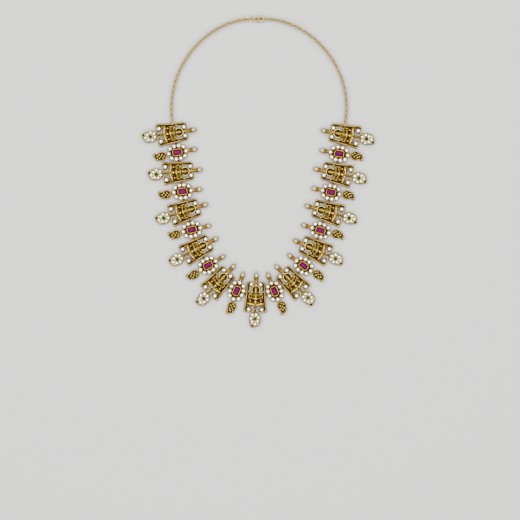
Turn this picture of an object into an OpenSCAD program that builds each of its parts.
// A temple necklace lying on its back: deity panels linked by ruby flowers, each with a pearl spike on its
// inner edge and a mango drop on its outer edge, closed behind by a plain chain and a hook.
// X runs across the wearer's chest, Y towards the back of the neck, and Z up from the surface it lies on.

/* [Row] */
// Turn of the middle panel, anticlockwise
middle_turn = -2; // [-5:1:5]
// Distance from a flower's middle to the rod that its ring rides on
link_reach = 7.65; // [7.5:0.05:9]
// How far above the middle of the rods the rings ride
ring_place = 1.4; // [0.8:0.1:1.8]
// Inner diameter of the rings on the rods
ring_bore = 1.6; // [1.4:0.1:2]
// Thickness of the rings' wire
ring_wire = 0.55; // [0.4:0.05:0.7]

/* [Panel frame] */
// Length of a panel along its middle line, between the rods' ends
panel_h = 20.3; // [19:0.1:24]
// Distance between the rods at the top
panel_top_w = 11.56; // [11:0.1:13]
// Distance between the rods at the bottom
panel_bottom_w = 15.1; // [14.5:0.1:17]
// Thickness of the side rods
rod_d = 1.1; // [0.8:0.05:1.3]
// Diameter of the balls on the rods' top ends
top_ball_d = 1.35; // [1.2:0.05:1.8]
// Diameter of the balls on the rods' bottom ends
bottom_ball_d = 1.7; // [1.4:0.05:2.2]
// Width of the flat wires of the frame
wire_w = 0.5; // [0.35:0.05:0.8]
// Thickness of the flat wires of the frame
wire_t = 1.1; // [0.8:0.1:1.4]
// Height of the rods' axis above the surface
rod_z = 1.5; // [1.45:0.05:2]
// Diameter of the scroll wires under the bottom corner stones
scroll_d = 4.8; // [4.2:0.1:5.4]

/* [Halo and figure] */
// Outer diameter of the halo
halo_d = 6.6; // [6:0.1:7.4]
// Width of the halo's ring
halo_w = 0.65; // [0.4:0.05:1]
// Thickness of the dark field behind the head
field_t = 1; // [0.6:0.1:1.4]
// Height of the seated figure from the seat to the crown's tip
figure_h = 13.7; // [12.5:0.1:15]
// Thickness of the seat across the panel
seat_h = 0.9; // [0.6:0.1:1.4]

/* [Pearl spikes] */
// Diameter of the pearls
pearl_d = 3.84; // [3:0.02:4]
// Length of the cap under a pearl
cap_l = 3; // [2:0.1:4]
// Diameter of the cap at its foot
cap_foot_d = 1.9; // [1.4:0.1:2.4]
// Diameter of the cap at its mouth
cap_mouth_d = 3.4; // [2.6:0.1:3.6]
// How deep a pearl sits in the cap's mouth
pearl_seat = 0.1; // [0.05:0.05:0.6]
// Thickness of the pin through a pearl
pin_d = 0.6; // [0.4:0.05:0.8]
// Diameter of the ball at the pin's end
tip_d = 1.2; // [0.9:0.05:1.6]

/* [Flower] */
// Distance between the outermost stones' centres across a flower
flower_w = 9.44; // [9:0.04:11]
// Distance between the outermost stones' centres along a flower
flower_h = 12.6; // [12:0.1:14]
// Width of the ruby
ruby_w = 4; // [3.4:0.1:4.4]
// Length of the ruby
ruby_l = 6; // [5.4:0.1:6.6]
// Wall of the ruby's bezel
bezel_wall = 0.6; // [0.4:0.05:0.9]
// Height of the bezel's rim above the surface
bezel_h = 3; // [2.6:0.1:3.6]
// Thickness of the floor of the dark pockets
floor_t = 0.8; // [0.5:0.1:1.2]
// Width of the spokes between the pockets
spoke_w = 0.8; // [0.5:0.1:1.2]
// Height of the spokes above the surface
spoke_h = 1.9; // [1.4:0.1:2.2]
// Diameter of the claws between the stones
claw_d = 1; // [0.8:0.05:1.4]

/* [Stones] */
// Diameter of the white stones
white_d = 2.56; // [2.2:0.02:2.7]
// Diameter of the green stones
green_d = 2.2; // [1.6:0.1:2.4]
// Wall of the cups that hold the stones
cup_wall = 0.22; // [0.15:0.01:0.4]
// Height of the cups' rims above the surface
cup_h = 2.4; // [2.2:0.1:3]
// Free space between a stone and its cup
stone_gap = 0.06; // [0.05:0.01:0.1]

/* [Stone mango] */
// Width of the stone mango's round body
stone_mango_w = 8.4; // [7.6:0.1:9.4]
// Length of the stone mango
stone_mango_l = 10.8; // [10:0.1:12]
// Diameter of its curled tip
stone_tip_d = 2.7; // [2:0.1:3.2]
// Thickness of its plate
stone_plate_t = 1.5; // [1.4:0.1:1.8]
// Height of its rim above the surface
stone_rim_h = 2.1; // [1.8:0.1:2.6]
// Diameter of the small collets round the green stone
collet_d = 2.3; // [1.8:0.05:2.4]

/* [Gold mango] */
// Width of the gold mango's round body
gold_mango_w = 6.6; // [6:0.1:7.4]
// Length of the gold mango
gold_mango_l = 9.6; // [9:0.1:11]
// Diameter of its curled tip
gold_tip_d = 2.2; // [1.4:0.1:2.4]
// Height of its border above the surface
gold_border_h = 1.7; // [1.5:0.1:2]
// Height of its domed middle above the surface
gold_dome_h = 2.2; // [2:0.1:2.6]
// Height of its carved ribs above the surface
gold_rib_h = 2.7; // [2.3:0.1:3]

/* [Bails] */
// Inner diameter of the loops that carry the drops
loop_bore = 0.8; // [0.7:0.05:1.2]
// Thickness of the loops' wire
loop_wire = 0.4; // [0.3:0.05:0.5]
// Height of the loops' middle above the surface
loop_z = 0.85; // [0.85:0.05:1.1]

/* [Chain and clasp] */
// Diameter of the chain
chain_d = 3; // [2:0.1:3.2]
// Height of the chain's axis above the surface
chain_z = 1.6; // [1.6:0.1:2]
// How far behind the outer panels' rings the clasp lies
chain_rise = 76; // [60:1:95]
// Diameter of each eye of the hook, along its wire's middle
hook_d = 3.4; // [3:0.1:4.4]
// Thickness of the hook's wire
hook_wire = 1.2; // [0.8:0.1:1.3]
// Diameter of the bead in the middle of the hook
hook_bead_d = 2; // [1.6:0.1:2.6]
// Inner diameter of the chain's end rings
end_bore = 2; // [1.8:0.1:2.6]
// Thickness of the end rings' wire
end_wire = 0.6; // [0.4:0.1:0.8]

/* [Hidden] */
$fn = 48;

// Turns of the pieces on each side, from the middle outwards, in degrees away from the middle's direction
FLOWER_TURN = 0;
PANEL_TURN = 1;
RIGHT_TURNS = [[22, 45], [54, 66], [73, 74], [77, 78], [79, 79]];
LEFT_TURNS = [[21, 43], [60, 62], [77, 72], [83, 84], [80, 81]];
pairs = len(RIGHT_TURNS);
SIDES = ["left", "right"];

// The ten white stones of a flower, clockwise from the pearl, as shares of its half width and half length
FLOWER_RING = [
    [0, 1], [0.71, 0.775], [0.964, 0.268], [0.964, -0.268], [0.71, -0.775],
    [0, -1], [-0.71, -0.775], [-0.964, -0.268], [-0.964, 0.268], [-0.71, 0.775]
];

// The figure, in shares of figure_h: sideways and up from the middle of the seat, height of the axis, radius,
// at the start and at the end of each rounded limb
SINGLE_LIMBS = [
    // start u, v, z, r        end u, v, z, r
    [[0, 0.82, 0.19, 0.088], [0, 0.96, 0.17, 0.035]],       // crown
    [[-0.075, 0.81, 0.235, 0.028], [0.075, 0.81, 0.235, 0.028]], // crown's band
    [[0, 0.765, 0.21, 0.07], [0, 0.685, 0.205, 0.058]],     // head
    [[0, 0.68, 0.165, 0.04], [0, 0.575, 0.16, 0.045]],      // neck
    [[-0.15, 0.54, 0.155, 0.052], [0.15, 0.54, 0.155, 0.052]], // shoulders
    [[0, 0.56, 0.135, 0.12], [0, 0.385, 0.13, 0.09]],       // chest
    [[-0.19, 0.39, 0.14, 0.058], [0.19, 0.39, 0.14, 0.058]], // sash
    [[-0.139, 0.365, 0.195, 0.033], [0.139, 0.365, 0.195, 0.033]], // belt
    [[0, 0.35, 0.15, 0.075], [0, 0.175, 0.15, 0.055]]       // lap
];
PAIRED_LIMBS = [
    [[0.155, 0.535, 0.15, 0.045], [0.226, 0.385, 0.145, 0.036]],  // upper arm
    [[0.226, 0.38, 0.145, 0.044], [0.268, 0.255, 0.155, 0.038]],  // forearm
    [[0.165, 0.52, 0.12, 0.036], [0.3, 0.555, 0.12, 0.028]],      // raised arm
    [[0.31, 0.56, 0.12, 0.032], [0.318, 0.66, 0.12, 0.03]],       // raised hand
    [[0.318, 0.66, 0.125, 0.038], [0.35, 0.77, 0.125, 0.03]],     // lotus
    [[0.31, 0.54, 0.125, 0.036], [0.33, 0.4, 0.125, 0.04]],       // lotus stem
    [[0, 0.045, 0.13, 0.07], [0.352, 0.083, 0.125, 0.09]]         // crossed leg
];
// Round knobs of the figure, in the same shares
KNOBS = [
    // u, v, z, r
    [0, 0.21, 0.185, 0.056],      // lap's boss
    [0.268, 0.245, 0.165, 0.052], // right hand
    [-0.268, 0.245, 0.165, 0.052] // left hand
];

// The white collets of a stone mango, in shares of its body's half width from the green stone
COLLETS = [
    [-0.43, 0.68], [0.2, 0.73], [0.62, 0.24], [0.5, -0.39], [0.07, -0.89], [-0.43, -0.46], [-0.68, 0.07]
];
// How far the green stone sits below the body's centre, as a share of the body's half width
GREEN_DROP = 0.07;

// The carved ribs of a gold mango: centre from the body's and radius, as shares of its half width, and angles
RIBS = [
    // u, v, radius, from, to
    [-1.3, -1.5, 1.5, -15, 80],
    [-1.3, -1.5, 1.95, -20, 80],
    [-1.3, -1.5, 2.4, -10, 75],
    [-1.3, -1.5, 2.85, 10, 60]
];
RIB_W = 0.45;
// Widths of the two mangoes' borders
GOLD_BORDER_W = 0.6;
STONE_RIM_W = 0.45;

// Rods, rings and wires of a panel
mid_u = (panel_top_w + panel_bottom_w) / 4;
rod_lean = (panel_bottom_w - panel_top_w) / 2 / panel_h;
function rod_u(v) = mid_u - rod_lean * v;
ring_r = (ring_bore + ring_wire) / 2;
wire_low = rod_z - wire_t / 2;
top_v = panel_h / 2 + 0.15;
white_r = white_d / 2;
seat_r = white_r + stone_gap;
cup_r = seat_r + cup_wall;
OVERLAP = 0.25;

// Figure and halo
seat_v = -0.325 * panel_h;
halo_v = seat_v + 0.846 * figure_h;
halo_r = halo_d / 2;
cross_v = halo_v + halo_r - OVERLAP / 2;
ogee_r = top_v - cross_v;
HALO_FROM = -48;
// How far the seat's bar lies above the foot of the figure
SEAT_RISE = 0.5;

// Corner stones
top_cup = [rod_u(top_v) * 0.56, top_v - cup_r + OVERLAP];
scroll_r = scroll_d / 2;
scroll_c = [panel_bottom_w / 2 * 0.45, -panel_h / 2 + scroll_r - 0.95];
SCROLL_START = 190;
SCROLL_END = -52;
scroll_end = scroll_c + scroll_r * [cos(SCROLL_END), sin(SCROLL_END)];
bottom_cup = scroll_end + [-0.2, cup_r];
fork_v = seat_v - 0.9;

// Pearl spikes
pearl_r = pearl_d / 2;
spike_z = pearl_r + 0.03;
cap_start_panel = top_v + 0.5;
pearl_at = cap_l - pearl_seat + sqrt(pow(pearl_r, 2) - pow(min(cap_mouth_d / 2, pearl_r) * 0.5, 2));
tip_at = pearl_at + pearl_r + tip_d / 2 - 0.3;
DRILL_GAP = 0.06;
// The cap's neck on a panel starts where the ogee wires reach its sides
panel_neck_r = cap_foot_d * 0.485;
panel_neck_v = cross_v + sqrt(pow(ogee_r, 2) - pow(ogee_r - panel_neck_r, 2)) - 0.1;

// Flower
ring_u = flower_w / 2;
ring_v = flower_h / 2;
function stone_at(k) = [FLOWER_RING[k].x * ring_u, FLOWER_RING[k].y * ring_v];
stones = len(FLOWER_RING);
cap_start_flower = ring_v + seat_r;
girdle_z = cup_h - 0.2;
// Shares of a round stone's radius: its table's radius, and how high its crown and how deep its pavilion are
TABLE = 0.56;
CROWN = 0.34;
PAVILION = 0.78;
culet = white_r * PAVILION;
// Floors of the cups' seats
seat_floor = girdle_z - culet - 0.1;
ruby_girdle_z = bezel_h - 0.3;
ruby_deep = ruby_w * 0.38;
bezel_out = bezel_wall + stone_gap;

// Loops and drops
loop_r = (loop_bore + loop_wire) / 2;
LOOP_GAP = 0.12;
relief_r = loop_r + loop_wire / 2 + LOOP_GAP;
relief_h = loop_z + loop_wire / 2 + LOOP_GAP;
panel_loop_v = -panel_h / 2 - 1.1;
flower_loop_v = -ring_v - cup_r - loop_wire / 2 - LOOP_GAP;
// How far below the middle of its carrier's loop a drop's metal starts; its back is cut away round that loop
DROP_START = 0.1;
// Section of the short stems that carry the loops
STEM = 0.6;

// Outline of the two mangoes, below the point where the metal starts
stone_r = stone_mango_w / 2;
gold_r = gold_mango_w / 2;
// Body, belly and tip, each as a centre and a radius
STONE_MANGO = [
    [[0, -stone_r], stone_r],
    [[0.02, -1.49] * stone_r, 0.93 * stone_r],
    [[-0.4 * stone_r, stone_tip_d / 2 - stone_mango_l], stone_tip_d / 2]
];
GOLD_MANGO = [
    [[0.24 * gold_r, -gold_r], gold_r],
    [[0.32, -1.88] * gold_r, 0.735 * gold_r],
    [[-0.3 * gold_r, gold_tip_d / 2 - gold_mango_l], gold_tip_d / 2]
];
green_at = [0, -(1 + GREEN_DROP) * stone_r];
green_r = green_d / 2;

// Places in the row: each is x, y and turn, with the middle panel's middle at zero
function u_dir(t) = [cos(t), sin(t)];
function v_dir(t) = [-sin(t), cos(t)];
function sign_of(side) = side == "right" ? 1 : -1;
function turn_of(side, k, column) =
    sign_of(side) * (side == "right" ? RIGHT_TURNS : LEFT_TURNS)[k - 1][column];
// The point on a panel's rod where a ring rides; outer is 1 for the right-hand rod and -1 for the left
function ring_point(p, outer) = [p.x, p.y] + outer * rod_u(ring_place) * u_dir(p.z) + ring_place * v_dir(p.z);
function panel_at(side, k) =
    k == 0
    ? [0, 0, middle_turn]
    : let (
        s = sign_of(side),
        f = flower_at(side, k),
        t = turn_of(side, k, PANEL_TURN),
        ring = [f.x, f.y] + s * link_reach * u_dir(f.z),
        c = ring + s * rod_u(ring_place) * u_dir(t) - ring_place * v_dir(t)
    ) [c.x, c.y, t];
function flower_at(side, k) =
    let (
        s = sign_of(side),
        t = turn_of(side, k, FLOWER_TURN),
        c = ring_point(panel_at(side, k - 1), s) + s * link_reach * u_dir(t)
    ) [c.x, c.y, t];
PANELS = concat([panel_at("right", 0)], [for (s = SIDES, k = [1:pairs]) panel_at(s, k)]);
FLOWERS = [for (s = SIDES, k = [1:pairs]) flower_at(s, k)];
// A point of a drop, given by its carrier's place, its carrier's loop and a point below the metal's start
function drop_point(p, loop_v, q) =
    [p.x, p.y] + q.x * u_dir(p.z) + (loop_v - DROP_START + q.y) * v_dir(p.z);

// The chains' ends and the clasp
right_ring = ring_point(panel_at("right", pairs), 1);
left_ring = ring_point(panel_at("left", pairs), -1);
clasp_at = [(right_ring.x + left_ring.x) / 2, (right_ring.y + left_ring.y) / 2 + chain_rise];
hook_r = hook_d / 2;
hook_z = chain_z - 0.2;
end_r = (end_bore + end_wire) / 2;
// How far from the hook's middle each end ring's middle lies
end_at = hook_d + 0.2;

// The middle of the whole necklace's outline, which is moved to the origin
outer_circles = [for (p = PANELS, c = STONE_MANGO) [drop_point(p, panel_loop_v, c[0]), c[1]]];
low_x = min([for (c = outer_circles) c[0].x - c[1]]);
high_x = max([for (c = outer_circles) c[0].x + c[1]]);
low_y = min([for (c = outer_circles) c[0].y - c[1]]);
high_y = clasp_at.y + hook_r + hook_wire / 2;
middle = [(low_x + high_x) / 2, (low_y + high_y) / 2];

GOLD = "goldenrod";
DEEP_GOLD = "darkgoldenrod";

// Small shapes

// Points of a circle's arc
function arc(c, r, from, to, steps = 12) =
    [for (i = [0:steps]) let (a = from + (to - from) * i / steps) c + r * [cos(a), sin(a)]];

// One edge of a strip, beside its path
function beside(path, d) = [
    for (i = [0:len(path) - 1])
        let (a = path[max(i - 1, 0)], b = path[min(i + 1, len(path) - 1)], t = (b - a) / norm(b - a))
            path[i] + d * [-t.y, t.x]
];
function reversed(list) = [for (i = [len(list) - 1:-1:0]) list[i]];

// A flat wire along a path
module strip(path, w, low, t)
    translate([0, 0, low])
        linear_extrude(t)
            polygon(concat(beside(path, w / 2), reversed(beside(path, -w / 2))));

// A rounded limb between two points, each given as u, v, z and radius
module limb(a, b) {
    d = [b.x - a.x, b.y - a.y, b.z - a.z];
    l = norm(d);
    translate([a.x, a.y, a.z])
        rotate([0, acos(d.z / l), atan2(d.y, d.x)])
            rotate_extrude()
                polygon([
                    [0, -a[3]], [a[3] * 0.7, -a[3] * 0.7], [a[3], 0],
                    [b[3], l], [b[3] * 0.7, l + b[3] * 0.7], [0, l + b[3]]
                ]);
}

// A wire ring about the Z axis
module wire_ring(r, wire)
    rotate_extrude()
        translate([r, 0])
            circle(d = wire);

module mirrored() {
    children();
    mirror([1, 0, 0]) children();
}

// A round cut stone: a table, eight crown facets and eight pavilion facets, with its girdle at zero
module round_stone(r) {
    function level(k, z) = [for (i = [0:7]) [k * r * cos(45 * i), k * r * sin(45 * i), z]];
    points = concat(level(TABLE, CROWN * r), level(1, 0), [[0, 0, -PAVILION * r]]);
    polyhedron(
        points,
        concat(
            [[for (i = [7:-1:0]) i]],
            [for (i = [0:7]) [i, (i + 1) % 8, 8 + (i + 1) % 8, 8 + i]],
            [for (i = [0:7]) [8 + i, 8 + (i + 1) % 8, 16]]
        )
    );
}

// The corners of an oblong with cut corners
function oblong(w, l, cut) = [
    [w / 2, l / 2 - cut], [w / 2 - cut, l / 2], [cut - w / 2, l / 2], [-w / 2, l / 2 - cut],
    [-w / 2, cut - l / 2], [cut - w / 2, -l / 2], [w / 2 - cut, -l / 2], [w / 2, cut - l / 2]
];

// The ruby: an oblong step cut with a table, two crown steps and two pavilion steps
module ruby() {
    // width and length less this, corner cut, height
    STEPS = [[1.5, 0.4, 0.85], [0.7, 0.55, 0.55], [0, 0.7, 0], [1.2, 0.5, -0.8], [3.2, 0.2, -ruby_deep]];
    points = [for (s = STEPS) each [for (p = oblong(ruby_w - s[0], ruby_l - s[0], s[1])) [p.x, p.y, s[2]]]];
    last = 8 * (len(STEPS) - 1);
    polyhedron(
        points,
        concat(
            [[for (i = [7:-1:0]) i]],
            [for (k = [0:len(STEPS) - 2], i = [0:7])
                [8 * k + i, 8 * k + (i + 1) % 8, 8 * k + 8 + (i + 1) % 8, 8 * k + 8 + i]],
            [[for (i = [0:7]) last + i]]
        )
    );
}

// The space that a round stone's seat takes
module seat(r)
    translate([0, 0, seat_floor]) cylinder(r = r, h = cup_h);

// The cap, pin and ball that hold a pearl, standing inwards from v
module spike(v) {
    translate([0, v, spike_z])
        rotate([-90, 0, 0]) {
            difference() {
                cylinder(d1 = cap_foot_d, d2 = cap_mouth_d, h = cap_l);
                translate([0, 0, pearl_at]) sphere(r = pearl_r + DRILL_GAP);
            }
            cylinder(d = pin_d, h = tip_at);
            translate([0, 0, tip_at]) sphere(d = tip_d);
        }
}

// A pearl drilled for its pin, with a dimple for the pin's ball
module pearl(v) {
    translate([0, v, spike_z])
        rotate([-90, 0, 0])
            difference() {
                translate([0, 0, pearl_at]) sphere(r = pearl_r);
                translate([0, 0, -1]) cylinder(d = pin_d + 2 * DRILL_GAP, h = tip_at + 4);
                translate([0, 0, tip_at]) sphere(r = tip_d / 2 + DRILL_GAP);
            }
}

// The loop that carries a drop, lying flat
module carrier_loop(v)
    translate([0, v, loop_z]) wire_ring(loop_r, loop_wire);

// A panel's frame: rods, balls, ogee wires, scrolls and cups
module panel_frame() {
    top = [rod_u(panel_h / 2), panel_h / 2];
    bottom = [rod_u(-panel_h / 2), -panel_h / 2];
    mirrored()
        difference() {
            union() {
                translate([bottom.x, bottom.y, rod_z])
                    rotate([-90, 0, atan2(bottom.x - top.x, top.y - bottom.y)])
                        cylinder(d = rod_d, h = norm(top - bottom));
                translate([top.x, top.y, rod_z]) sphere(d = top_ball_d);
                translate([bottom.x, bottom.y, rod_z]) sphere(d = bottom_ball_d);
                strip(
                    concat(
                        [[top.x, top_v]],
                        arc([ogee_r, cross_v], ogee_r, 90, 180),
                        [[0, cross_v - OVERLAP]]
                    ),
                    wire_w, wire_low, wire_t
                );
                strip(
                    concat(
                        [[0, fork_v]],
                        arc(scroll_c, scroll_r, SCROLL_START, 360 + SCROLL_END),
                        [[bottom.x, scroll_end.y + 0.2]]
                    ),
                    wire_w, wire_low, wire_t
                );
                for (c = [top_cup, bottom_cup]) translate([c.x, c.y, 0]) cylinder(r = cup_r, h = cup_h);
            }
            for (c = [top_cup, bottom_cup]) translate([c.x, c.y, 0]) seat(seat_r);
        }
    // the stem between the scrolls, from the seat down to the drop's loop
    translate([-STEM / 2, panel_loop_v + loop_r, loop_z - STEM / 2])
        cube([STEM, seat_v + SEAT_RISE - panel_loop_v - loop_r, STEM]);
    carrier_loop(panel_loop_v);
}

// The halo, its dark field and the seated figure
module panel_figure() {
    f = figure_h;
    function spot(p) = [p[0] * f, seat_v + p[1] * f, p[2] * f, p[3] * f];
    translate([0, halo_v, 0]) {
        cylinder(r = halo_r - halo_w / 2, h = field_t);
        translate([0, 0, wire_low - 0.1])
            linear_extrude(wire_t + 0.3)
                difference() {
                    circle(r = halo_r);
                    circle(r = halo_r - halo_w);
                    polygon([[0, 0], halo_d * [cos(HALO_FROM), sin(HALO_FROM)], [0, -halo_d * 2],
                        halo_d * [-cos(HALO_FROM), sin(HALO_FROM)]]);
                }
    }
    for (l = SINGLE_LIMBS) limb(spot(l[0]), spot(l[1]));
    mirrored() for (l = PAIRED_LIMBS) limb(spot(l[0]), spot(l[1]));
    for (k = KNOBS) let (s = spot(k)) translate([s.x, s.y, s.z]) sphere(r = s[3]);
    // the seat, from rod to rod
    translate([-rod_u(seat_v), seat_v + SEAT_RISE - seat_h / 2, 0.1])
        cube([2 * rod_u(seat_v), seat_h, rod_z]);
}

module panel() {
    color(GOLD) {
        panel_frame();
        panel_figure();
        // the neck that carries the pearl's cap, held between the ogee wires
        translate([0, panel_neck_v, spike_z])
            rotate([-90, 0, 0]) cylinder(r = panel_neck_r, h = cap_start_panel - panel_neck_v + OVERLAP);
        spike(cap_start_panel);
    }
}

module flower() {
    color(GOLD) {
        difference() {
            union() {
                linear_extrude(floor_t) polygon([for (k = [0:stones - 1]) stone_at(k)]);
                linear_extrude(bezel_h) polygon(oblong(ruby_w + 2 * bezel_out, ruby_l + 2 * bezel_out, 1));
                for (k = [0:stones - 1]) {
                    s = stone_at(k);
                    n = stone_at((k + 1) % stones);
                    m = (s + n) / 2;
                    rotate([0, 0, atan2(s.y, s.x)])
                        translate([0, -spoke_w / 2, 0.1]) cube([norm(s), spoke_w, spoke_h]);
                    translate([s.x, s.y, 0.05]) cylinder(r = cup_r, h = cup_h - 0.05);
                    translate([m.x, m.y, 0.15] + [m.x, m.y, 0] / norm(m) * claw_d * 0.6)
                        cylinder(d = claw_d, h = cup_h);
                }
                // lugs and rings that ride on the neighbours' rods
                mirrored() {
                    translate([ring_u, 0, rod_z])
                        rotate([0, 90, 0]) cylinder(d = claw_d * 0.9, h = link_reach - ring_r - ring_u);
                    translate([link_reach, 0, rod_z])
                        rotate([90, 0, 0]) wire_ring(ring_r, ring_wire);
                }
                // the neck that carries the pearl's cap
                translate([0, ring_v, spike_z])
                    rotate([-90, 0, 0])
                        cylinder(d = cap_foot_d * 0.8, h = cap_start_flower - ring_v + OVERLAP);
            }
            translate([0, 0, ruby_girdle_z - ruby_deep - 0.1])
                linear_extrude(bezel_h)
                    polygon(oblong(ruby_w + 2 * stone_gap, ruby_l + 2 * stone_gap, 0.7));
            for (k = [0:stones - 1])
                let (s = stone_at(k))
                    translate([s.x, s.y, 0]) seat(seat_r);
        }
        spike(cap_start_flower);
        translate([-STEM / 2, flower_loop_v + loop_r, loop_z - STEM / 2])
            cube([STEM, cup_r, STEM]);
        carrier_loop(flower_loop_v);
    }
}

// The stretch between two circles, bounded by the lines that touch both, drawn a hair inside them
module bridge(a, b, inset) {
    HAIR = 0.99;
    l = norm(b[0] - a[0]);
    along = (b[0] - a[0]) / l;
    across = [along.y, -along.x];
    cosine = (a[1] - b[1]) / l;
    sine = sqrt(1 - cosine * cosine);
    n = (along * cosine + across * sine) * HAIR;
    m = (along * cosine - across * sine) * HAIR;
    polygon([
        a[0] + n * (a[1] - inset), b[0] + n * (b[1] - inset),
        b[0] + m * (b[1] - inset), a[0] + m * (a[1] - inset)
    ]);
}

// The outline of a mango: a round body, a belly and a small tip, with a hollow on the tip's side
module mango_outline(mango, inset) {
    HOLLOW_R = 1.6;
    BITE = 0.05;
    body = mango[0];
    belly = mango[1];
    tip = mango[2];
    // centre of the hollow, which bites a little into the belly and the tip
    l = norm(tip[0] - belly[0]);
    along = (tip[0] - belly[0]) / l;
    a = belly[1] + HOLLOW_R - BITE;
    b = tip[1] + HOLLOW_R - BITE;
    x = (l * l + a * a - b * b) / (2 * l);
    hollow = belly[0] + along * x + [along.y, -along.x] * sqrt(a * a - x * x);
    difference() {
        union() {
            for (c = mango) translate(c[0]) circle(r = c[1] - inset);
            bridge(body, belly, inset);
            bridge(belly, tip, inset);
        }
        translate(hollow) circle(r = HOLLOW_R + inset);
    }
}

// A drop with its standing bail, and with its back cut away for the carrier's loop
module hung_drop(loop_v) {
    bail_v = loop_v - loop_r;
    difference() {
        translate([0, loop_v - DROP_START, 0]) children();
        translate([0, loop_v, -1]) cylinder(r = relief_r, h = relief_h + 1);
    }
    translate([0, bail_v, loop_z]) rotate([0, 90, 0]) wire_ring(loop_r, loop_wire);
}

module stone_mango() {
    color("palegoldenrod")
        hung_drop(panel_loop_v)
            difference() {
                union() {
                    linear_extrude(stone_plate_t) mango_outline(STONE_MANGO, 0);
                    translate([0, 0, stone_plate_t - 0.1])
                        linear_extrude(stone_rim_h - stone_plate_t + 0.1)
                            difference() {
                                mango_outline(STONE_MANGO, 0);
                                mango_outline(STONE_MANGO, STONE_RIM_W);
                            }
                    for (c = COLLETS)
                        let (p = green_at + c * stone_r)
                            translate([p.x, p.y, 0.2]) cylinder(d = collet_d, h = stone_rim_h - 0.3);
                    translate([green_at.x, green_at.y, 0.3])
                        cylinder(r = green_r + stone_gap + cup_wall, h = cup_h - 0.3);
                }
                for (c = COLLETS)
                    let (p = green_at + c * stone_r)
                        translate([p.x, p.y, stone_plate_t + 0.1])
                            cylinder(d = collet_d - 2 * cup_wall, h = stone_rim_h);
                translate([green_at.x, green_at.y, 0]) seat(green_r + stone_gap);
            }
}

module gold_mango() {
    color(DEEP_GOLD)
        hung_drop(flower_loop_v) {
            linear_extrude(gold_border_h) mango_outline(GOLD_MANGO, 0);
            translate([0, 0, gold_border_h - 0.1])
                linear_extrude(gold_dome_h - gold_border_h + 0.1) mango_outline(GOLD_MANGO, GOLD_BORDER_W);
            intersection() {
                union()
                    for (r = RIBS)
                        strip(
                            arc(GOLD_MANGO[0][0] + [r[0], r[1]] * gold_r, r[2] * gold_r, r[3], r[4]),
                            RIB_W, gold_dome_h - 0.15, gold_rib_h - gold_dome_h + 0.15
                        );
                linear_extrude(gold_rib_h + 1) mango_outline(GOLD_MANGO, GOLD_BORDER_W + 0.15);
            }
        }
}

module placed(p)
    translate([p.x - middle.x, p.y - middle.y, 0]) rotate([0, 0, p.z]) children();

module rubies() {
    color("mediumvioletred")
        for (p = FLOWERS) placed(p) translate([0, 0, ruby_girdle_z]) ruby();
}

module flower_whites() {
    color("white")
        for (p = FLOWERS, k = [0:stones - 1])
            let (s = stone_at(k)) placed(p) translate([s.x, s.y, girdle_z]) round_stone(white_r);
}

module panel_whites() {
    color("white")
        for (p = PANELS, c = [top_cup, bottom_cup])
            placed(p) mirrored() translate([c.x, c.y, girdle_z]) round_stone(white_r);
}

module green_stones() {
    color("darkgreen")
        for (p = PANELS)
            placed(p)
                translate([green_at.x, panel_loop_v - DROP_START + green_at.y, girdle_z])
                    round_stone(green_r);
}

module pearls() {
    color("ivory") {
        for (p = PANELS) placed(p) pearl(cap_start_panel);
        for (p = FLOWERS) placed(p) pearl(cap_start_flower);
    }
}

// The chain's route in the row's places: out along the outer panel, round behind the neck, to its end ring
CHAIN_RINGS = 17;
CHAIN_SIDES = 8;
// Share of each half axis that the curve's handles take, as on a quarter of an ellipse
HANDLE = 0.55;
function chain_route(side) =
    let (
        s = sign_of(side),
        p = panel_at(side, pairs),
        ring = side == "right" ? right_ring : left_ring,
        out = s * u_dir(p.z),
        a = ring + ring_r * out,
        d = clasp_at + [s * (end_at + end_r - end_wire / 4), 0],
        b = a + out * HANDLE * (d.y - a.y),
        c = d + [s * HANDLE * abs(a.x - d.x), 0]
    ) [for (i = [0:CHAIN_RINGS]) let (t = i / CHAIN_RINGS)
        pow(1 - t, 3) * a + 3 * pow(1 - t, 2) * t * b + 3 * (1 - t) * t * t * c + pow(t, 3) * d];

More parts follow.
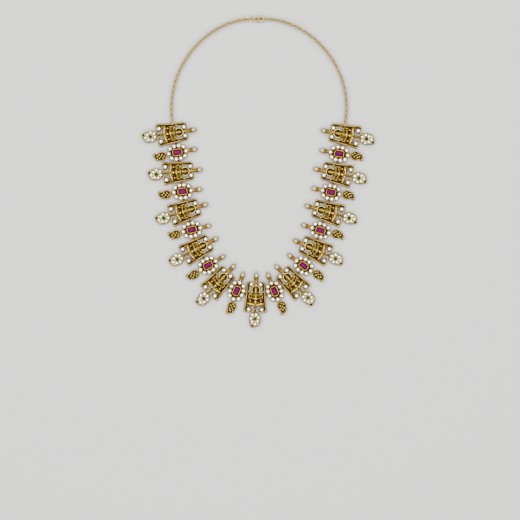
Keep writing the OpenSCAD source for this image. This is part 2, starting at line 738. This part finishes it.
// A round tube along a level route
module tube(route, r, z) {
    last = len(route) - 1;
    n = CHAIN_SIDES;
    points = [
        for (i = [0:last])
            let (a = route[max(i - 1, 0)], b = route[min(i + 1, last)], t = (b - a) / norm(b - a))
                for (j = [0:n - 1])
                    let (w = 360 * (j + 0.5) / n)
                        [route[i].x - t.y * r * cos(w), route[i].y + t.x * r * cos(w), z + r * sin(w)]
    ];
    polyhedron(
        points,
        concat(
            [[for (j = [0:n - 1]) j]],
            [for (i = [0:last - 1], j = [0:n - 1])
                [n * i + j, n * (i + 1) + j, n * (i + 1) + (j + 1) % n, n * i + (j + 1) % n]],
            [[for (j = [n - 1:-1:0]) n * last + j]]
        )
    );
}

module chain(side) {
    s = sign_of(side);
    p = panel_at(side, pairs);
    ring = side == "right" ? right_ring : left_ring;
    color(GOLD)
        translate([-middle.x, -middle.y, 0]) {
            tube(chain_route(side), chain_d / 2, chain_z);
            // the ring on the outer panel's rod
            translate([ring.x, ring.y, rod_z])
                rotate([90, 0, p.z]) wire_ring(ring_r, ring_wire);
            // the end ring that the hook goes through
            translate([clasp_at.x + s * end_at, clasp_at.y, chain_z])
                rotate([90, 0, 0]) wire_ring(end_r, end_wire);
        }
}

module chain_left() chain("left");
module chain_right() chain("right");

module clasp() {
    OPEN = 50;
    START = 8;
    color(GOLD)
        translate([clasp_at.x - middle.x, clasp_at.y - middle.y, hook_z]) {
            sphere(d = hook_bead_d);
            for (turn = [0, 180])
                rotate([0, 0, turn])
                    translate([-hook_r, 0, 0]) {
                        rotate([0, 0, START])
                            rotate_extrude(angle = 360 - OPEN - START)
                                translate([hook_r, 0]) circle(d = hook_wire);
                        rotate([0, 0, -OPEN]) translate([hook_r, 0, 0]) sphere(d = hook_wire * 1.15);
                    }
        }
}

placed(PANELS[0]) panel();  // panel_middle
placed(PANELS[0]) stone_mango();  // stone_mango_middle
for (s = SIDES, k = [1:pairs]) {
    placed(panel_at(s, k)) panel();
    placed(flower_at(s, k)) flower();
    placed(panel_at(s, k)) stone_mango();
    placed(flower_at(s, k)) gold_mango();
}
rubies();
flower_whites();
panel_whites();
green_stones();
pearls();
chain_left();
chain_right();
clasp();
